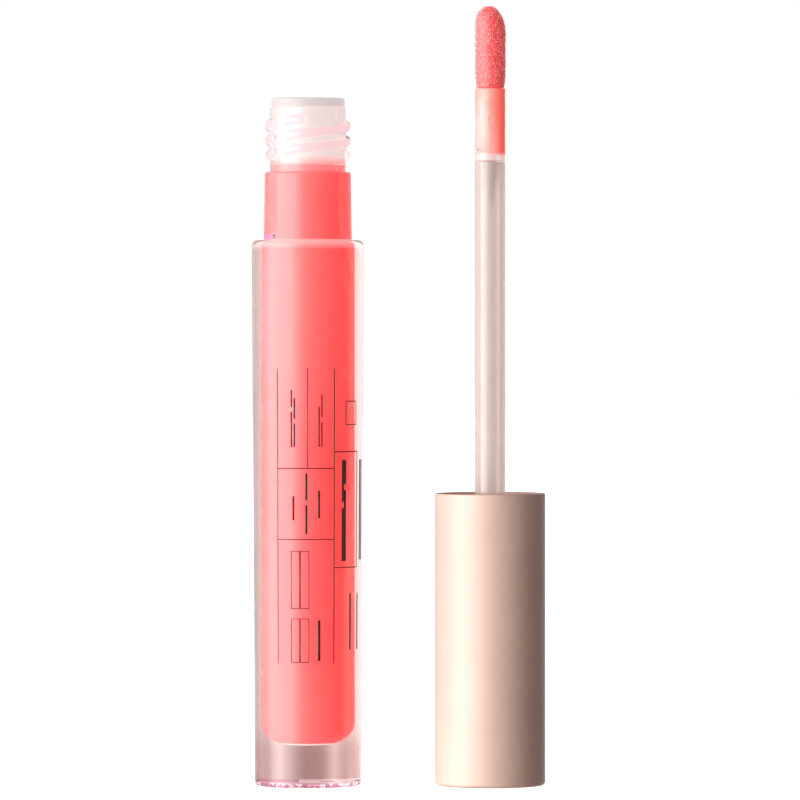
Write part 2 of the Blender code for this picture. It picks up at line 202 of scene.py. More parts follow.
# Studio: how bright the surroundings are, by how far right of the front they lie
STUDIO = (
    (-180, 0.02),
    (-168, 0.04),
    (-158, 0.16),
    (-145, 0.06),
    (-125, 0.12),
    (-100, 0.3),
    (-80, 1.0),
    (-60, 1.0),
    (-35, 1.0),
    (-20, 0.4),
    (-8, 0.1),
    (12, 0.01),
    (45, 0.0),
    (85, 0.0),
    (100, 0.05),
    (130, 0.08),
    (145, 0.06),
    (158, 0.16),
    (168, 0.04),
    (180, 0.02),
)
SOFTBOX_HALF = math.radians(40)
SOFTBOX_EDGE = math.radians(12)
SOFTBOX_RADIANCE = 4.3
SOFTBOX_COLOUR = (1, 0.985, 0.97, 1)
ROOM_COLOUR = (1.0, 0.68, 0.62, 1)
ROOM_RADIANCE = 0.12
SEEN_THROUGH = 0.35  # how much brighter the room is to what has come through clear plastic
SEEN_ABOVE = 1.1  # and how much more so straight above and below
FLOOR_SIZE = 6
FLOOR_DROP = 0.02 * MM

# Camera
LENS = 310
SENSOR = 36
CAMERA_PLACE = (0.15 * MM, -1.005, 0.0717)
CAMERA_AIM = (0.15 * MM, 0, 0.0562)
CLIP_START, CLIP_END = 0.05, 20

# Tints colour what comes through the bottle and the rod: those on the ridges and the lug are
# painted light, the hole's is painted shade, and the foot's streaks are the plastic's own. Glows
# are painted light, which stands in for light that the plastic carries and scatters.
BLACK = (0, 0, 0, 1)
RIDGE_PAINTED_TINT = (0.95, 0.66, 0.72, 1)
LUG_PAINTED_TINT = (0.80, 0.36, 0.62, 1)
HOLE_PAINTED_SHADE = (0.50, 0.41, 0.39, 1)
FOOT_STREAK = (0.66, 0.46, 0.46, 1)
SHOULDER_PAINTED_HIGHLIGHT = (0.42, 0.26, 0.25, 1)
LUG_PAINTED_GLOW = (0.30, 0.10, 0.22, 1)
SPARKLE_PAINTED_GLOW = 0.28  # of its own colour
NECK_PAINTED_GLOW = (0.13, 0.11, 0.11, 1)
RIDGE_PAINTED_GLOW = (0.24, 0.15, 0.165, 1)

# The gloss: its glow, and its colours where light catches its lower edge
GLOSS_GLOW = (1.0, 0.02, 0.03, 1)
RIM_COLOUR = (1.0, 0.88, 0.94, 1)
RIM_GLOW = (0.9, 0.72, 0.8, 1)

# The wiper, where it is clean and where gloss soaks its foot, and its painted glow
WIPER_GLOW = (1.0, 0.865, 0.85, 1)
SOAKED_COLOUR = (0.8, 0.16, 0.16, 1)
SOAKED_GLOW = (1.0, 0.2, 0.2, 1)

# Facets
SIDES = 192
BOTTLE_SIDES = 256
WAND_SIDES = 128
ARC_STEP = math.radians(10)
HOLD = 0.12  # of a rounding: where a straight run's first ring holds its shading
MIDDLE = (0.3, 0.7)  # what noise mostly stays between


# ---------------------------------------------------------------- shapes


def rounded(corners):
    """Profile points from corners (radius, height) or (radius, height, rounding)."""
    points = []
    for i, corner in enumerate(corners):
        here = Vector(corner[:2])
        rounding = corner[2] if len(corner) > 2 else 0.0
        if not rounding:
            points.append(here)
            continue
        to_last = (Vector(corners[i - 1][:2]) - here).normalized()
        to_next = (Vector(corners[(i + 1) % len(corners)][:2]) - here).normalized()
        half = to_last.angle(to_next) / 2
        centre = here + (to_last + to_next).normalized() * rounding / math.sin(half)
        reach = rounding / math.tan(half)
        first = here + to_last * reach - centre
        last = here + to_next * reach - centre
        sweep = first.angle_signed(last)
        steps = max(2, round(abs(sweep) / ARC_STEP))
        points.append(here + to_last * (reach + rounding * HOLD))
        for k in range(steps + 1):
            turn = -sweep * k / steps
            cos, sin = math.cos(turn), math.sin(turn)
            arm = Vector((first.x * cos - first.y * sin, first.x * sin + first.y * cos))
            points.append(centre + arm)
        points.append(here + to_next * (reach + rounding * HOLD))
    return points


def subdivided(points, low, high, inner, step):
    """The profile with extra points between two heights, outside the inner radius."""
    made = [points[0]]
    for last, here in zip(points, points[1:]):
        inside = min(last.x, here.x) > inner and min(last.y, here.y) >= low
        if inside and max(last.y, here.y) <= high:
            count = max(1, math.ceil((here - last).length / step))
            made += [last.lerp(here, k / count) for k in range(1, count)]
        made.append(here)
    return made


def finished_mesh(name, vertices, faces):
    """A smooth mesh with its faces turned outwards."""
    mesh = bpy.data.meshes.new(name)
    mesh.from_pydata([tuple(v) for v in vertices], [], faces)
    work = bmesh.new()
    work.from_mesh(mesh)
    bmesh.ops.recalc_face_normals(work, faces=work.faces)
    work.to_mesh(mesh)
    work.free()
    mesh.shade_smooth()
    return mesh


def turned_mesh(name, points, closed=False, sides=SIDES, relief=None):
    """A profile turned about the origin's axis. Relief gives each ring its own radii."""
    angles = np.arange(sides) * math.tau / sides
    vertices, rings = [], []
    for radius, height in points:
        start = len(vertices)
        if radius < 1e-7:
            vertices.append((0, 0, height))
            rings.append([start] * sides)
            continue
        radii = np.full(sides, radius)
        heights = np.full(sides, height)
        if relief:
            radii, heights = relief(angles, radii, heights)
        vertices += list(zip(radii * np.cos(angles), radii * np.sin(angles), heights))
        rings.append(list(range(start, start + sides)))
    if closed:
        rings.append(rings[0])
    faces = []
    for lower, upper in zip(rings, rings[1:]):
        for k in range(sides):
            j = (k + 1) % sides
            corners = (lower[k], lower[j], upper[j], upper[k])
            faces.append(tuple(dict.fromkeys(corners)))
    return finished_mesh(name, vertices, faces)


def add_piece(name, mesh, x, body, slot, material, *nodes):
    """Puts a finished mesh on its axis, and ties it to the frame."""
    piece = bpy.data.objects.new(name, mesh)
    piece.location.x = x
    bpy.context.scene.collection.objects.link(piece)
    mesh.materials.append(material)
    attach(piece, body)
    if nodes:
        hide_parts(*nodes)


def smooth(value):
    """0 below 0, 1 above 1, and a smooth rise between."""
    value = np.clip(value, 0, 1)
    return value * value * (3 - 2 * value)


# ---------------------------------------------------------------- bottle


def thread_height(angles, heights):
    """How far the neck's thread stands out, as a share of its depth."""
    proud = np.zeros_like(angles)
    end = THREAD_TURNS * math.tau
    for start in range(STARTS):
        along = (angles - start * math.tau / STARTS) % math.tau
        for lap in range(math.ceil(THREAD_TURNS)):
            travelled = along + lap * math.tau
            ridge = THREAD_FOOT_Z + LEAD * travelled / math.tau
            off = np.abs(heights - ridge)
            section = smooth((THREAD_FOOT_HALF - off) / (THREAD_FOOT_HALF - THREAD_CREST_HALF))
            ends = np.minimum(travelled, end - travelled)
            for line in THREAD_BREAKS:
                apart = np.abs((angles - line + math.pi) % math.tau - math.pi)
                ends = np.minimum(ends, apart - BREAK_HALF)
            proud = np.maximum(proud, section * smooth(ends / THREAD_FADE))
    return proud


def bottle_relief(angles, radii, heights):
    """The thread on the neck, and the lug at the collar's foot."""
    radius, height = radii[0], heights[0]
    if radius < NECK_R - COLLAR_ROUND:
        return radii, heights
    if COLLAR_TOP_Z < height < NECK_TOP_Z - COLLAR_ROUND:
        radii = radii + THREAD_DEPTH * thread_height(angles, heights)
    on_collar = BODY_H - 0.01 * MM < height < COLLAR_TOP_Z
    if on_collar and COLLAR_BASE_R - 0.1 * MM < radius < LUG_R:
        apart = np.abs((angles - LUG_ANGLE + math.pi) % math.tau - math.pi) * radius
        side = smooth((LUG_HALF - apart) / LUG_EDGE + 0.5)
        top = smooth((BODY_H + LUG_H - heights) / LUG_EDGE + 0.5)
        radii = radii + (LUG_R - radius) * side * top
    return radii, heights


def make_bottle(material):
    """The clear moulding, whose wall reaches a little way into the gloss."""
    bore = BORE_R - WET_OVERLAP
    floor = CHAMBER_FLOOR_Z + WET_OVERLAP
    points = rounded(
        [
            (0, floor),
            (bore, floor, CHAMBER_ROUND),
            (bore, NECK_TOP_Z, 0.15 * MM),
            (NECK_R, NECK_TOP_Z, COLLAR_ROUND),
            (NECK_R, COLLAR_TOP_Z, 0.15 * MM),
            (COLLAR_TOP_R, COLLAR_TOP_Z, COLLAR_ROUND),
            (COLLAR_BASE_R - 0.02 * MM, LUG_RING_Z),
            (COLLAR_BASE_R, BODY_H, 0.12 * MM),
            (BODY_TOP_R, BODY_H, SHOULDER_ROUND),
            (BODY_BASE_R, 0, BASE_ROUND),
            (RECESS_R, 0, 0.12 * MM),
            (RECESS_R - RECESS_DEPTH, RECESS_DEPTH, 0.2 * MM),
            (0, RECESS_DEPTH),
        ]
    )
    points = subdivided(points, COLLAR_TOP_Z, NECK_TOP_Z, BORE_R, RING_STEP)
    points = subdivided(points, BODY_H, BODY_H + LUG_H * 1.4, BORE_R, RING_STEP)
    mesh = turned_mesh("bottle_clear", points, sides=BOTTLE_SIDES, relief=bottle_relief)
    add_piece("bottle_clear", mesh, BOTTLE_X, "bottle", "bottle", material, "bottle")


def make_wiper(material):
    """The soft insert, closed round from its flange to its lip."""
    points = rounded(
        [
            (FLANGE_R, WIPER_TOP_Z, 0.3 * MM),
            (FLANGE_R, NECK_TOP_Z, 0.12 * MM),
            (BORE_R, NECK_TOP_Z, 0.1 * MM),
            (BORE_R, WIPER_END_Z, 0.15 * MM),
            (SKIRT_R, WIPER_END_Z, 0.15 * MM),
            (SKIRT_R, CONE_TOP_Z - CONE_WALL, 0.2 * MM),
            (LIP_R + LIP_WALL, WIPER_END_Z, 0.1 * MM),
            (LIP_R, WIPER_END_Z, 0.1 * MM),
            (MOUTH_R, CONE_TOP_Z, 0.4 * MM),
            (MOUTH_R, WIPER_TOP_Z, 0.25 * MM),
        ]
    )
    mesh = turned_mesh("wiper_insert", points, closed=True)
    add_piece("wiper_insert", mesh, BOTTLE_X, "bottle", "wiper", material, "wiper")


def make_gloss(material):
    """The liquid, up to the wiper's foot, with a dip in its middle."""
    points = rounded(
        [
            (0, GLOSS_TOP_Z - GLOSS_DIP),
            (BORE_R, WIPER_END_Z - GLOSS_GAP, 0.1 * MM),
            (BORE_R, CHAMBER_FLOOR_Z, CHAMBER_ROUND),
            (0, CHAMBER_FLOOR_Z),
        ]
    )
    mesh = turned_mesh("gloss_fill", points)
    add_piece("gloss_fill", mesh, BOTTLE_X, "bottle", "gloss", material, "gloss")


# ---------------------------------------------------------------- print


def on_body(angle, height, rise):
    """A point on the bottle's body, whose radius grows a little with height."""
    radius = BODY_BASE_R + (BODY_TOP_R - BODY_BASE_R) * height / BODY_H + rise
    return radius * math.cos(angle), radius * math.sin(angle), height


def patch(vertices, faces, turn, half_width, foot, top):
    """Adds one closed patch of ink, turned that many degrees right of the front."""
    middle = math.radians(turn - 90)
    half = half_width / BODY_TOP_R
    columns = max(1, math.ceil(2 * half / PATCH_STEP))
    base = len(vertices)
    for rise in (PRINT_RISE, PRINT_RISE + PRINT_T):
        for height in (foot, top):
            for k in range(columns + 1):
                angle = middle - half + 2 * half * k / columns
                vertices.append(on_body(angle, height, rise))
    row = columns + 1
    for k in range(columns):
        a = base + k
        faces.append((a, a + 1, a + 1 + row, a + row))
        faces.append((a + 2 * row, a + 3 * row, a + 3 * row + 1, a + 2 * row + 1))
        faces.append((a, a + 2 * row, a + 2 * row + 1, a + 1))
        faces.append((a + row, a + row + 1, a + 3 * row + 1, a + 3 * row))
    for a in (base, base + columns):
        faces.append((a, a + row, a + 3 * row, a + 2 * row))


def frame_patches(vertices, faces, turn, half, foot, top):
    """Adds an empty frame of fine lines."""
    line = FRAME_W / 2
    reach = math.degrees(half / BODY_TOP_R)
    for side in (-reach, reach):
        patch(vertices, faces, turn + side, line, foot, top)
    for height in (foot, top):
        patch(vertices, faces, turn, half + line, height - line, height + line)


def make_print(material):
    """The panel's rules, and plain bars and frames where it has words and a seal."""
    vertices, faces = [], []
    # upright rules: how far round, and from where to where
    for turn, foot, top in (
        (LEFT_RULE, PANEL_FOOT, PANEL_TOP),
        (MIDDLE_RULE, CROSS_HIGH, PANEL_TOP),
        (RIGHT_RULE, PANEL_FOOT, PANEL_TOP),
        (EDGE_RULE, SIDE_LOW, SIDE_HIGH),
    ):
        patch(vertices, faces, turn, RULE_W / 2, foot, top)
    # level rules: from one upright to another, and how high
    for first, last, height in (
        (LEFT_RULE, RIGHT_RULE, CROSS_LOW),
        (LEFT_RULE, RIGHT_RULE, CROSS_HIGH),
        (RIGHT_RULE, EDGE_RULE, SIDE_LOW),
        (RIGHT_RULE, EDGE_RULE, SIDE_HIGH),
    ):
        half = math.radians(last - first) / 2 * BODY_TOP_R
        foot, top = height - RULE_W / 2, height + RULE_W / 2
        patch(vertices, faces, (first + last) / 2, half, foot, top)
    # bars: degrees round, and half the width, the foot and the top in millimetres
    for turn, half, foot, top in (
        (-16.6, 0.13, 49.5, 54.6),
        (-16.6, 0.13, 55.3, 57.8),
        (-13.4, 0.13, 49.5, 52.9),
        (-13.4, 0.13, 53.6, 56.6),
        (12.6, 0.11, 49.5, 55.4),
        (15.4, 0.11, 49.5, 53.1),
        (15.4, 0.11, 53.9, 57.1),
        (-14.5, 0.17, 38.9, 42.4),
        (-0.8, 0.17, 36.9, 41.1),
        (-0.8, 0.17, 41.8, 45.7),
        (12.6, 0.17, 39.2, 43.2),
        (12.8, 0.2, 18.5, 24.4),
        (40.5, 0.2, 32.9, 40.6),
        (40.5, 0.2, 41.5, 47.6),
        (43.5, 0.2, 32.9, 43.2),
        (43.5, 0.2, 44.1, 47.6),
        (52.0, 0.16, 20.0, 28.2),
        (66.0, 0.16, 20.0, 28.2),
        (72.0, 0.22, 33.0, 47.6),
        (77.0, 0.22, 33.0, 47.6),
    ):
        patch(vertices, faces, turn, half * MM, foot * MM, top * MM)
    # frames, given in the same way
    for turn, half, foot, top in (
        (-12.5, 0.62, 18.3, 24.6),
        (-2.5, 0.62, 18.3, 24.6),
        (-12.5, 0.62, 26.1, 34.4),
        (-2.5, 0.62, 26.1, 34.4),
        (53.0, 1.2, 52.7, 56.1),
    ):
        frame_patches(vertices, faces, turn, half * MM, foot * MM, top * MM)
    mesh = finished_mesh("body_print", vertices, faces)
    add_piece("body_print", mesh, BOTTLE_X, "bottle", "bottle", material)


# ---------------------------------------------------------------- cap


def make_overcap(material):
    points = rounded(
        [
            (0, OVERCAP_END),
            (OVERCAP_BORE_R, OVERCAP_END, 0.3 * MM),
            (OVERCAP_BORE_R, CAP_H, 0.2 * MM),
            (OVERCAP_R, CAP_H, 0.2 * MM),
            (OVERCAP_R, 0, OVERCAP_ROUND),
            (0, 0),
        ]
    )
    mesh = turned_mesh("overcap_shell", points)
    add_piece("overcap_shell", mesh, WAND_X, "applicator", "overcap", material, "overcap")


def liner_relief(angles, radii, heights):
    """The liner's thread, which stands inwards and fits between the neck's ridges."""
    if abs(radii[0] - LINER_BORE_R) > 0.02 * MM:
        return radii, heights
    closed_heights = CLOSED_H - heights
    closed_angles = math.pi - CLOSING_TURNS * math.tau - angles
    proud = np.zeros_like(angles)
    for start in range(STARTS):
        travelled = (closed_angles - start * math.tau / STARTS) % math.tau
        for lap in (-1, 0, 1, 2):
            ridge = THREAD_FOOT_Z + LEAD * (travelled / math.tau + lap) + LEAD / STARTS / 2
            off = np.abs(closed_heights - ridge)
            section = smooth((LINER_THREAD_HALF - off) / LINER_THREAD_FLANK)
            ends = np.minimum(ridge - LINER_THREAD_FOOT, LINER_THREAD_TOP - ridge)
            proud = np.maximum(proud, section * smooth(ends / LINER_THREAD_FADE))
    return radii - LINER_THREAD_DEPTH * proud, heights


def make_inner_cap(material):
    socket_floor = ROD_FOOT_Z - FIT_GAP
    points = rounded(
        [
            (0, socket_floor),
            (SOCKET_R, socket_floor, 0.2 * MM),
            (SOCKET_R, LINER_ROOF_Z, 0.2 * MM),
            (LINER_BORE_R, LINER_ROOF_Z, 0.2 * MM),
            (LINER_BORE_R, LINER_MOUTH_Z, 0.15 * MM),
            (INNER_CAP_R, LINER_MOUTH_Z, 0.15 * MM),
            (INNER_CAP_R, LINER_ROOF_Z - LINER_ROOF, 0.3 * MM),
            (SOCKET_OUTER_R, LINER_ROOF_Z - LINER_ROOF, 0.3 * MM),
            (SOCKET_OUTER_R, LINER_FOOT_Z, 0.3 * MM),
            (0, LINER_FOOT_Z),
        ]
    )
    points = subdivided(points, LINER_ROOF_Z, LINER_MOUTH_Z, SOCKET_OUTER_R, LINER_RING_STEP)
    mesh = turned_mesh("threaded_liner", points, relief=liner_relief)
    add_piece(
        "threaded_liner", mesh, WAND_X, "applicator", "inner_cap", material, "inner_cap"
    )


def make_seal_ring(material):
    inner = RING_R - RING_WIDTH
    points = rounded(
        [
            (RING_R, RING_TOP_Z, 0.1 * MM),
            (RING_R, RING_FOOT_Z, 0.1 * MM),
            (inner, RING_FOOT_Z, 0.1 * MM),
            (inner, RING_TOP_Z, 0.1 * MM),
        ]
    )
    mesh = turned_mesh("foam_seal", points, closed=True)
    add_piece("foam_seal", mesh, WAND_X, "screwed_down", "seal_ring", material, "seal_ring")


# ---------------------------------------------------------------- wand


def make_rod(material):
    hole_end = PLUG_END_Z - PLUG_GAP
    points = rounded(
        [
            (0, hole_end),
            (PLUG_END_R + PLUG_GAP, hole_end, 0.1 * MM),
            (PLUG_TOP_R + PLUG_GAP, ROD_TOP_Z, 0.08 * MM),
            (ROD_R, ROD_TOP_Z, 0.1 * MM),
            (ROD_R, ROD_FOOT_Z, 0.2 * MM),
            (0, ROD_FOOT_Z),
        ]
    )
    mesh = turned_mesh("wand_stem", points, sides=WAND_SIDES)
    add_piece("wand_stem", mesh, WAND_X, "applicator", "wand_rod", material, "wand_rod")


def make_core(material):
    foot = ROD_TOP_Z + PLUG_GAP
    head = ROD_TOP_Z + STEM_HEAD_H
    points = rounded(
        [
            (0, NOSE_TOP_Z),
            (NOSE_R, NOSE_TOP_Z, 0.7 * MM),
            (NOSE_R, FLOCK_FOOT_Z - FIT_GAP, 0.1 * MM),
            (COATED_R, FLOCK_FOOT_Z - FIT_GAP, 0.1 * MM),
            (COATED_R, head, 0.05 * MM),
            (CORE_R, head, 0.1 * MM),
            (CORE_R, foot, 0.1 * MM),
            (PLUG_TOP_R, foot, 0.08 * MM),
            (PLUG_END_R, PLUG_END_Z, 0.12 * MM),
            (0, PLUG_END_Z),
        ]
    )
    mesh = turned_mesh("moulded_core", points, sides=WAND_SIDES)
    add_piece("moulded_core", mesh, WAND_X, "applicator", "tip_core", material, "tip_core")


def film_edge(angles):
    """The height of the film's lower edge: higher on the left, with a small notch on the right."""
    slope = -FILM_SLOPE * np.cos(angles - 0.2)
    slow, quick = FILM_WAVES
    wave = slow * np.sin(2 * angles + 0.6) + quick * np.sin(5 * angles)
    apart = (angles + 0.35 + math.pi) % math.tau - math.pi
    notch = FILM_NOTCH * np.exp(-((apart / 0.16) ** 2))
    return STEM_FILM_FOOT_Z - FILM_DROP + slope + wave + notch


def film_relief(angles, radii, heights):
    """Bends the film's foot to its edge, and gives it slow ripples and a bubble's outline."""
    span = STEM_FILM_TOP_Z - STEM_FILM_FOOT_Z
    share = (heights - STEM_FILM_FOOT_Z) / span
    edge = film_edge(angles)
    raised = edge + (STEM_FILM_TOP_Z - edge) * share
    if radii[0] > CORE_R - 0.25 * MM:
        ripple = np.sin(3 * angles + 900 * raised) * np.sin(1400 * raised + 1.3)
        fade = smooth(share * 4) * smooth((1 - share) * 6)
        radii = radii + FILM_RIPPLE * (ripple - 1) * fade
        across = ((angles - BUBBLE_ANGLE + math.pi) % math.tau - math.pi) * STEM_FILM_R
        away = np.hypot(across, raised - STEM_FILM_TOP_Z + BUBBLE_DOWN)
        radii = radii + BUBBLE_RISE * np.exp(-(((away - BUBBLE_R) / BUBBLE_EDGE) ** 2))
    return radii, raised


def make_stem_film(material):
    inner, top = STEM_FILM_R - FILM_T, STEM_FILM_TOP_Z + FILM_OVER
    points = rounded(
        [
            (STEM_FILM_R, top, 0.1 * MM),
            (STEM_FILM_R, STEM_FILM_FOOT_Z, 0.12 * MM),
            (inner, STEM_FILM_FOOT_Z, 0.05 * MM),
            (inner, top, 0.05 * MM),
        ]
    )
    points = subdivided(points, 0, TIP_TOP_Z, 0, FILM_RING_STEP)
    mesh = turned_mesh("stem_film", points, closed=True, sides=WAND_SIDES, relief=film_relief)
    add_piece("stem_film", mesh, WAND_X, "applicator", "wet_gloss", material, "stem_gloss")


def head_point(angle, share, radius):
    """A point on the flocked head, from its foot at share 0 to its tip at share 1."""
    straight = TIP_TOP_Z - FLOCK_FOOT_Z - SLANT_L
    along = share * (straight + TIP_RUN)
    turn = min(max(0.0, (along - straight) / TIP_RUN), 0.995) * math.pi / 2
    height = min(along, straight) + SLANT_L * math.sin(turn)
    above = SLANT_L * math.sin(turn) - SLANT_L

    def reach(full, rise):
        return full * math.sqrt(max(0.0, 1 - max(0.0, (above + rise) / rise) ** 2))

    right = reach(radius - APEX_X, SLANT_L)
    left = reach(radius + APEX_X, LEFT_RISE)
    deep = reach(radius, DEPTH_RISE)
    x = APEX_X + (right - left) / 2 + (right + left) / 2 * math.cos(angle)
    y = deep * math.sin(angle)
    waist = 1 - WAIST * math.exp(-((height / WAIST_H) ** 2))
    return Vector((x * waist, y * waist, FLOCK_FOOT_Z + height))


def make_head(material, fibre_material):
    """The head's skin, and the fibres that stand on it."""
    radius = HEAD_R - PILE
    vertices, rings = [], []
    for row in range(HEAD_ROWS):
        start = len(vertices)
        for k in range(HEAD_SIDES):
            angle = k / HEAD_SIDES * math.tau
            vertices.append(head_point(angle, row / HEAD_ROWS, radius))
        rings.append(range(start, start + HEAD_SIDES))
    faces = [tuple(reversed(rings[0])), tuple(rings[-1])]
    for lower, upper in zip(rings, rings[1:]):
        for k in range(HEAD_SIDES):
            j = (k + 1) % HEAD_SIDES
            faces.append((lower[k], lower[j], upper[j], upper[k]))
    mesh = finished_mesh("flocked_head", vertices, faces)
    add_piece(
        "flocked_head", mesh, WAND_X, "applicator", "flock", material, "flocked_tip", "tip_gloss"
    )
    make_fibres(fibre_material, radius)


def make_fibres(material, radius):
    """Short fibres, combed towards the foot."""
    random = np.random.default_rng(7)
    vertices, faces = [], []
    for _ in range(FIBRES):
        angle = random.uniform(0, math.tau)
        share = random.uniform(0.02, 0.97) ** 0.9
        root = head_point(angle, share, radius)
        around = head_point(angle + 0.05, share, radius) - root
        up = head_point(angle, min(share + 0.01, 0.98), radius) - root
        outward = around.cross(up).normalized()
        lean = (-up.normalized() + around.normalized() * random.normal(0, 0.5)).normalized()
        length = random.uniform(*FIBRE_L)
        tip = root + (outward * FIBRE_STAND + lean).normalized() * length
        side = lean.cross(outward).normalized() * FIBRE_HALF_W * random.uniform(0.7, 1.6)
        root = root - outward * FIBRE_ROOT
        base = len(vertices)
        thick = outward * FIBRE_HALF_W
        vertices += [root - side, root + side, root + thick * 2, tip]
        faces += [(base, base + 2, base + 3), (base + 2, base + 1, base + 3)]
        faces += [(base + 1, base, base + 3), (base, base + 1, base + 2)]
    mesh = finished_mesh("flock_fibres", vertices, faces)
    add_piece("flock_fibres", mesh, WAND_X, "applicator", "flock", material)


# ---------------------------------------------------------------- materials


def set_stops(ramp, stops):
    """Gives a colour ramp node its (position, colour) stops, in linear colour."""
    elements = ramp.color_ramp.elements
    while len(elements) < len(stops):
        elements.new(0.5)
    for element, (position, colour) in zip(elements, stops):
        element.position = position
        element.color = (*colour, 1)


class Surface:
    """A material's node tree, with short ways to add and join nodes."""

    def __init__(self, name):
        self.material = bpy.data.materials.new(name)
        self.material.use_nodes = True
        self.tree = self.material.node_tree
        self.shader = self.tree.nodes["Principled BSDF"]
        self.output = self.tree.nodes["Material Output"]
        self.place = self.add("ShaderNodeTexCoord").outputs["Object"]

    def add(self, kind, **settings):
        node = self.tree.nodes.new(kind)
        for key, value in settings.items():
            setattr(node, key, value)
        return node

    def put(self, value, socket):
        """Links another node's output to a socket, or sets the socket itself."""
        if isinstance(value, bpy.types.NodeSocket):
            self.tree.links.new(value, socket)
        else:
            socket.default_value = value

    def set(self, **values):
        """Fills the shader's sockets by name, with underscores for spaces."""
        for key, value in values.items():
            self.put(value, self.shader.inputs[key.replace("_", " ")])

    def height(self):
        """How high up its own axis, in metres."""
        split = self.add("ShaderNodeSeparateXYZ")
        self.put(self.place, split.inputs[0])
        return split.outputs["Z"]

    def radius(self):
        """How far out from its own axis, in metres."""
        level = self.add("ShaderNodeVectorMath", operation="MULTIPLY")
        level.inputs[1].default_value = (1, 1, 0)
        self.put(self.place, level.inputs[0])
        out = self.add("ShaderNodeVectorMath", operation="LENGTH")
        self.put(level.outputs[0], out.inputs[0])
        return out.outputs["Value"]

    def noise(self, scale, detail=2.0, stretch=(1, 1, 1)):
        """Noise in the object's own metres: scale counts features per metre."""
        mapping = self.add("ShaderNodeMapping")
        mapping.inputs["Scale"].default_value = stretch
        self.put(self.place, mapping.inputs["Vector"])
        noise = self.add("ShaderNodeTexNoise")
        noise.inputs["Scale"].default_value = scale
        noise.inputs["Detail"].default_value = detail
        self.put(mapping.outputs[0], noise.inputs["Vector"])
        return noise.outputs["Fac"]

    def cells(self, scale, output):
        """One output of a cell pattern: scale counts cells per metre."""
        cells = self.add("ShaderNodeTexVoronoi")
        cells.inputs["Scale"].default_value = scale
        self.put(self.place, cells.inputs["Vector"])
        return cells.outputs[output]

    def ramp(self, factor, *stops):
        ramp = self.add("ShaderNodeValToRGB")
        set_stops(ramp, stops)
        self.put(factor, ramp.inputs[0])
        return ramp.outputs["Color"]

    def tones(self, factor, dark, light):
        """A colour that wanders between two with noise."""
        return self.ramp(factor, (MIDDLE[0], dark), (MIDDLE[1], light))

    def share(self, value, low, high, least=0.0, most=1.0):
        """The least at low, the most at high, and even between."""
        share = self.add("ShaderNodeMapRange")
        share.inputs["From Min"].default_value = low
        share.inputs["From Max"].default_value = high
        share.inputs["To Min"].default_value = least
        share.inputs["To Max"].default_value = most
        self.put(value, share.inputs["Value"])
        return share.outputs[0]

    def spread(self, factor, least, most):
        """Noise's useful middle, spread between two values."""
        return self.share(factor, *MIDDLE, least, most)

    def product(self, first, second):
        product = self.add("ShaderNodeMath", operation="MULTIPLY")
        self.put(first, product.inputs[0])
        self.put(second, product.inputs[1])
        return product.outputs[0]

    def mixed(self, colour, factor, other):
        """One colour faded into another by a factor. Each may be another node's output."""
        mix = self.add("ShaderNodeMix", data_type="RGBA")
        for index, value in ((0, factor), (6, colour), (7, other)):
            self.put(value, mix.inputs[index])
        return mix.outputs[2]

    def bump(self, factor, depth, strength=1.0):
        """Bump of a real depth, in metres."""
        bump = self.add("ShaderNodeBump")
        bump.inputs["Distance"].default_value = depth
        bump.inputs["Strength"].default_value = strength
        self.put(factor, bump.inputs["Height"])
        self.set(Normal=bump.outputs[0])

    def lets_lamps_through(self, colour):
        """Clear to shadow rays and to rays that a matt surface has scattered."""
        path = self.add("ShaderNodeLightPath")
        either = self.add("ShaderNodeMath", operation="MAXIMUM")
        self.put(path.outputs["Is Shadow Ray"], either.inputs[0])
        self.put(path.outputs["Is Diffuse Ray"], either.inputs[1])
        clear = self.add("ShaderNodeBsdfTransparent")
        clear.inputs["Color"].default_value = (*colour, 1)
        mix = self.add("ShaderNodeMixShader")
        self.put(either.outputs[0], mix.inputs[0])
        self.put(self.shader.outputs[0], mix.inputs[1])
        self.put(clear.outputs[0], mix.inputs[2])
        self.put(mix.outputs[0], self.output.inputs["Surface"])


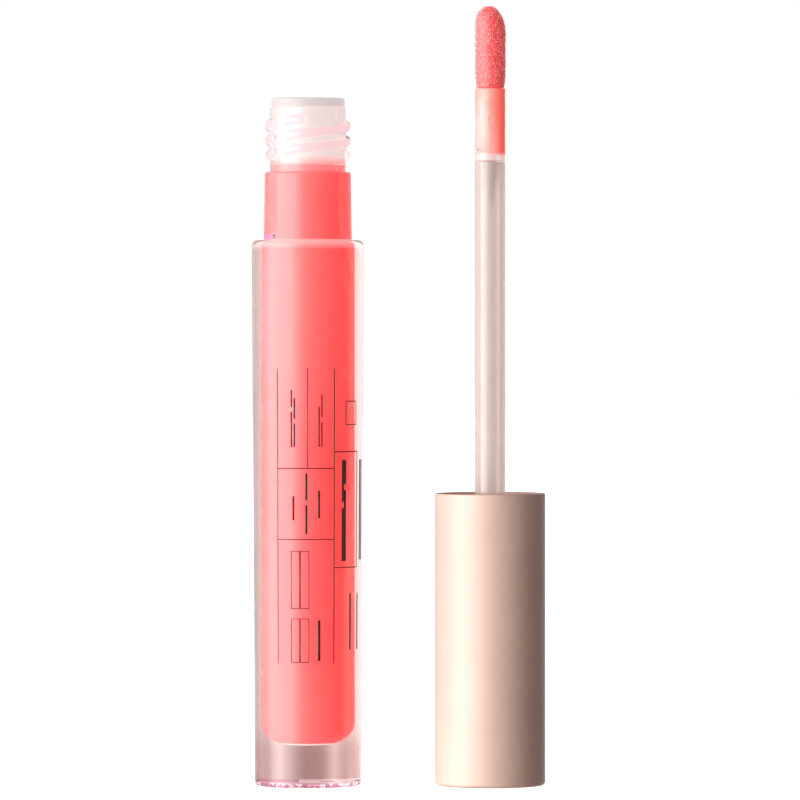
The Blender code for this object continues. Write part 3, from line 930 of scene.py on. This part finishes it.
def clear_plastic():
    s = Surface("clear_plastic")
    s.set(Transmission_Weight=1.0, IOR=1.52)
    height, radius = s.height(), s.radius()
    # painted light: the gloss's pink glow in the clear wall, so the foot is a deep pink, the
    # body's wall paler, and the neck nearly clear
    painted_gloss_light = s.ramp(
        s.share(height, 0, NECK_TOP_Z),
        (0.0, (0.74, 0.57, 0.57)),
        (0.05, (0.78, 0.58, 0.58)),
        (0.09, (0.94, 0.79, 0.78)),
        (0.79, (0.96, 0.86, 0.85)),
        (0.90, (1.0, 0.97, 0.97)),
    )
    # where the neck, its ridges, the lug and the shoulder's edge are
    neck = s.share(height, COLLAR_TOP_Z - 0.1 * MM, COLLAR_TOP_Z + 0.3 * MM)
    ridge = s.product(neck, s.share(radius, NECK_R + 0.1 * MM, NECK_R + THREAD_DEPTH * 0.8))
    lug = s.product(
        s.share(height, BODY_H, BODY_H + 0.1 * MM),
        s.share(radius, COLLAR_BASE_R + 0.1 * MM, LUG_R),
    )
    shoulder = s.product(
        s.share(height, BODY_H - 1.3 * MM, BODY_H - 0.3 * MM),
        s.share(height, BODY_H + 0.2 * MM, BODY_H + 0.05 * MM),
    )
    # the solid foot has faint streaks, and its ring has painted sparkle: pink and purple glints
    # with a painted glow
    foot = s.product(
        s.share(height, CHAMBER_FLOOR_Z + 1.0 * MM, CHAMBER_FLOOR_Z - 1.0 * MM),
        s.spread(s.noise(700, 4.0, (1, 1, 0.22)), 0.0, 0.5),
    )
    ring = s.share(height, 0.75 * MM, 0.55 * MM)
    painted_sparkle = s.ramp(
        s.spread(s.cells(1400, "Color"), -0.3, 1.3),
        (0.0, (0.45, 0.14, 0.28)),
        (0.35, (0.86, 0.34, 0.48)),
        (0.7, (0.62, 0.42, 0.66)),
        (0.95, (1.0, 0.86, 0.92)),
    )
    tint = s.mixed(s.mixed(painted_gloss_light, foot, FOOT_STREAK), ring, painted_sparkle)
    # painted light: the ridges tinted pink and the lug purple
    tint = s.mixed(s.mixed(tint, ridge, RIDGE_PAINTED_TINT), lug, LUG_PAINTED_TINT)
    # painted glows on the neck, its ridges and the lug, and a painted highlight along the
    # shoulder's edge
    glow = s.mixed(s.mixed(BLACK, neck, NECK_PAINTED_GLOW), ridge, RIDGE_PAINTED_GLOW)
    glow = s.mixed(s.mixed(glow, shoulder, SHOULDER_PAINTED_HIGHLIGHT), lug, LUG_PAINTED_GLOW)
    glow = s.mixed(glow, ring, s.mixed(BLACK, SPARKLE_PAINTED_GLOW, painted_sparkle))
    s.set(Base_Color=tint, Emission_Color=glow, Emission_Strength=1.0)
    s.set(Roughness=s.spread(s.noise(220), 0.0, 0.03))
    s.bump(s.noise(240, 1.0, (1, 1, 0.3)), 0.02 * MM, 0.25)
    s.lets_lamps_through((0.98, 0.93, 0.93))
    return s.material


def soft_plastic():
    s = Surface("soft_wiper_plastic")
    s.set(IOR=1.45, Subsurface_Weight=1.0, Subsurface_Scale=1.5 * MM)
    s.set(Subsurface_Radius=(1.0, 0.9, 0.9))
    # gloss soaks its foot, and fades out upwards; a painted glow lights the wiper, redder where
    # soaked
    soaked = s.share(s.height(), WIPER_END_Z + 1.3 * MM, WIPER_END_Z)
    milk = s.tones(s.noise(300), (0.13, 0.125, 0.123), (0.17, 0.163, 0.16))
    s.set(Base_Color=s.mixed(milk, soaked, SOAKED_COLOUR))
    s.set(Emission_Color=s.mixed(WIPER_GLOW, soaked, SOAKED_GLOW), Emission_Strength=0.6)
    s.set(Roughness=s.spread(s.noise(900), 0.25, 0.4))
    s.bump(s.noise(2500, 3.0), 0.01 * MM, 0.4)
    return s.material


def gloss_liquid():
    s = Surface("coral_gloss")
    s.set(Subsurface_Weight=1.0, Subsurface_Scale=8.0 * MM, Subsurface_Radius=(1.0, 0.12, 0.12))
    s.set(IOR=1.1)
    # the light catches the edge of the chamber's floor
    rim = s.share(s.height(), CHAMBER_FLOOR_Z + 0.32 * MM, CHAMBER_FLOOR_Z + 0.16 * MM)
    swirl = s.noise(90, 3.0, (1, 1, 0.35))
    liquid = s.tones(swirl, (0.98, 0.165, 0.175), (1.0, 0.2, 0.205))
    s.set(Base_Color=s.mixed(liquid, rim, RIM_COLOUR))
    s.set(Emission_Color=s.mixed(GLOSS_GLOW, rim, RIM_GLOW), Emission_Strength=0.18)
    s.set(Roughness=s.spread(s.noise(400), 0.2, 0.3))
    s.bump(s.noise(350), 0.02 * MM, 0.3)
    return s.material


def ink():
    s = Surface("black_ink")
    wear = s.noise(1800, 3.0)
    s.set(Base_Color=s.ramp(wear, (0.3, (0.012, 0.008, 0.008)), (0.75, (0.045, 0.02, 0.018))))
    s.set(Roughness=s.spread(s.noise(2500), 0.3, 0.55))
    s.bump(s.noise(6000), 0.004 * MM, 0.5)
    return s.material


def satin_beige():
    s = Surface("satin_beige")
    s.set(Coat_Weight=0.35, Coat_Roughness=0.32, IOR=1.5)
    s.set(Base_Color=s.tones(s.noise(140, 3.0), (0.65, 0.46, 0.385), (0.69, 0.49, 0.41)))
    s.set(Roughness=s.spread(s.noise(1500, 3.0), 0.34, 0.44))
    s.bump(s.noise(9000, 3.0), 0.006 * MM, 0.5)
    return s.material


def liner_plastic():
    s = Surface("natural_liner_plastic")
    s.set(Subsurface_Weight=0.3, Subsurface_Scale=1.5 * MM, Subsurface_Radius=(1.0, 0.8, 0.7))
    s.set(Base_Color=s.tones(s.noise(200), (0.70, 0.65, 0.61), (0.78, 0.73, 0.69)))
    s.set(Roughness=s.spread(s.noise(900), 0.32, 0.45))
    s.bump(s.noise(3000), 0.008 * MM, 0.4)
    return s.material


def foam():
    s = Surface("foam_seal")
    cells = s.cells(7000, "Distance")
    s.set(Base_Color=s.ramp(cells, (0.0, (0.66, 0.64, 0.6)), (0.5, (0.84, 0.82, 0.79))))
    s.set(Roughness=s.spread(s.noise(3000), 0.75, 0.95))
    s.bump(cells, 0.03 * MM, 0.8)
    return s.material


def rod_plastic(name, dark, light):
    s = Surface(name)
    s.set(Transmission_Weight=0.7, IOR=1.5, Subsurface_Weight=0.6, Subsurface_Scale=1.2 * MM)
    s.set(Subsurface_Radius=(1.0, 0.85, 0.8))
    # painted glow: the plastic lit from within
    s.set(Emission_Color=(1.0, 0.89, 0.84, 1), Emission_Strength=0.07)
    haze = s.tones(s.noise(180, 2.0, (1, 1, 0.2)), dark, light)
    # painted shade: near the axis, from the plug's end up, it is darker, where the plug sits in
    # its hole
    near = s.share(s.radius(), 1.6 * MM, 1.3 * MM)
    hole = s.product(near, s.share(s.height(), PLUG_END_Z - 1.0 * MM, PLUG_END_Z - 0.5 * MM))
    s.set(Base_Color=s.mixed(haze, hole, HOLE_PAINTED_SHADE))
    s.set(Roughness=s.spread(s.noise(500, 2.0, (1, 1, 0.2)), 0.05, 0.1))
    s.bump(s.noise(700, 2.0, (1, 1, 0.15)), 0.01 * MM, 0.3)
    return s.material


def wet_film():
    s = Surface("wet_coral_film")
    s.set(Subsurface_Weight=0.6, Subsurface_Scale=0.3 * MM, IOR=1.48)
    s.set(Subsurface_Radius=(1.0, 0.5, 0.4))
    # painted glow: the film lit from within, deep red
    s.set(Emission_Color=(1.0, 0.06, 0.03, 1), Emission_Strength=0.5)
    flow = s.noise(330, 3.0, (1, 1, 0.5))
    s.set(Base_Color=s.tones(flow, (1.0, 0.28, 0.25), (1.0, 0.46, 0.43)))
    s.set(Roughness=s.spread(s.noise(800), 0.06, 0.16))
    s.bump(s.noise(900), 0.03 * MM, 0.4)
    return s.material


def flock():
    s = Surface("soaked_flock")
    s.set(Subsurface_Weight=0.5, Subsurface_Scale=0.6 * MM, Subsurface_Radius=(1.0, 0.4, 0.4))
    s.set(Coat_Weight=0.8, Coat_Roughness=0.4, Sheen_Weight=0.6, Sheen_Roughness=0.5)
    # painted glow: the soaked flock lit from within
    s.set(Emission_Color=(1.0, 0.05, 0.06, 1), Emission_Strength=0.28)
    pile = s.noise(2600, 4.0)
    s.set(Base_Color=s.ramp(pile, (0.35, (0.72, 0.04, 0.05)), (0.65, (0.9, 0.12, 0.12))))
    s.set(Roughness=s.spread(s.noise(1500), 0.35, 0.7))
    s.bump(pile, 0.12 * MM, 0.9)
    return s.material


def fibres():
    s = Surface("flock_fibres")
    s.set(Subsurface_Weight=0.4, Subsurface_Scale=0.3 * MM, Sheen_Weight=0.3, Sheen_Roughness=0.5)
    # painted glow: the fibres lit from within
    s.set(Emission_Color=(1.0, 0.14, 0.15, 1), Emission_Strength=0.28)
    tint = s.noise(2200)
    s.set(Base_Color=s.ramp(tint, (0.35, (0.96, 0.32, 0.32)), (0.62, (1.0, 0.82, 0.80))))
    s.set(Roughness=s.spread(s.noise(3500), 0.35, 0.6))
    return s.material


# ---------------------------------------------------------------- stage


def make_floor():
    """White, and hidden from all but the camera's rays."""
    bpy.ops.mesh.primitive_plane_add(size=FLOOR_SIZE, location=(0, 0, -FLOOR_DROP))
    floor = bpy.context.object
    floor.name = "floor"
    s = Surface("white_floor")
    s.set(Base_Color=(0.9, 0.9, 0.9, 1), Roughness=0.9)
    s.set(Emission_Color=(1, 1, 1, 1), Emission_Strength=0.92)
    floor.data.materials.append(s.material)
    floor.visible_diffuse = False
    floor.visible_glossy = False
    floor.visible_transmission = False
    floor.visible_shadow = False


def make_world():
    """White to the camera. The object sees a tall softbox all down its left that fades out at
    the front, darkness on its right, and two faint strips behind it. A dim warm room lies
    around it all, and looks brighter through clear plastic, most so straight up and down."""
    world = bpy.data.worlds.new("studio")
    bpy.context.scene.world = world
    world.use_nodes = True
    tree = world.node_tree
    tree.nodes.clear()

    def add(kind, *inputs, **settings):
        node = tree.nodes.new(kind)
        for key, value in settings.items():
            setattr(node, key, value)
        for socket, value in zip(node.inputs, inputs):
            if isinstance(value, bpy.types.NodeSocket):
                tree.links.new(value, socket)
            elif value is not None:
                socket.default_value = value
        return node

    def maths(operation, *inputs):
        return add("ShaderNodeMath", *inputs, operation=operation).outputs[0]

    direction = add("ShaderNodeTexCoord").outputs["Generated"]
    split = add("ShaderNodeSeparateXYZ", direction).outputs
    turn = maths("ARCTAN2", split["X"], maths("MULTIPLY", split["Y"], -1.0))
    share = add("ShaderNodeMapRange", turn, -math.pi, math.pi, 0.0, 1.0)
    ramp = add("ShaderNodeValToRGB", share.outputs[0])
    set_stops(ramp, [(degrees / 360 + 0.5, [level] * 3) for degrees, level in STUDIO])
    height = maths("ABSOLUTE", split["Z"])
    window = add(
        "ShaderNodeMapRange",
        height,
        math.sin(SOFTBOX_HALF - SOFTBOX_EDGE),
        math.sin(SOFTBOX_HALF + SOFTBOX_EDGE),
        1.0,
        0.0,
        interpolation_type="SMOOTHSTEP",
    )
    shaped = maths("MULTIPLY", ramp.outputs[0], window.outputs[0])
    softbox = maths("MULTIPLY", shaped, SOFTBOX_RADIANCE)
    path = add("ShaderNodeLightPath").outputs
    above = maths("MULTIPLY_ADD", maths("POWER", height, 2.0), SEEN_ABOVE, SEEN_THROUGH)
    extra = maths("MULTIPLY", above, maths("MINIMUM", path["Transmission Depth"], 1.0))
    room = maths("ADD", extra, ROOM_RADIANCE)
    lit = add("ShaderNodeBackground", SOFTBOX_COLOUR, softbox).outputs[0]
    dim = add("ShaderNodeBackground", ROOM_COLOUR, room).outputs[0]
    both = add("ShaderNodeAddShader", lit, dim).outputs[0]
    seen = add("ShaderNodeBackground", (1, 1, 1, 1), 1.0).outputs[0]
    mix = add("ShaderNodeMixShader", path["Is Camera Ray"], both, seen)
    add("ShaderNodeOutputWorld", mix.outputs[0])


def make_camera():
    data = bpy.data.cameras.new("camera")
    camera = bpy.data.objects.new("camera", data)
    bpy.context.scene.collection.objects.link(camera)
    data.lens = LENS
    data.sensor_width = SENSOR
    camera.location = CAMERA_PLACE
    aim = Vector(CAMERA_AIM) - camera.location
    camera.rotation_euler = aim.to_track_quat("-Z", "Y").to_euler()
    data.clip_start = CLIP_START
    data.clip_end = CLIP_END
    bpy.context.scene.camera = camera


def main():
    make_bottle(clear_plastic())
    make_wiper(soft_plastic())
    make_gloss(gloss_liquid())
    make_print(ink())
    make_overcap(satin_beige())
    make_inner_cap(liner_plastic())
    make_seal_ring(foam())
    make_rod(rod_plastic("translucent_greige", (0.73, 0.68, 0.65), (0.77, 0.72, 0.69)))
    make_core(rod_plastic("pale_core", (0.92, 0.88, 0.85), (0.96, 0.93, 0.91)))
    make_stem_film(wet_film())
    make_head(flock(), fibres())
    make_floor()
    make_world()
    make_camera()
    scene = bpy.context.scene
    scene.view_settings.view_transform = "Standard"


main()
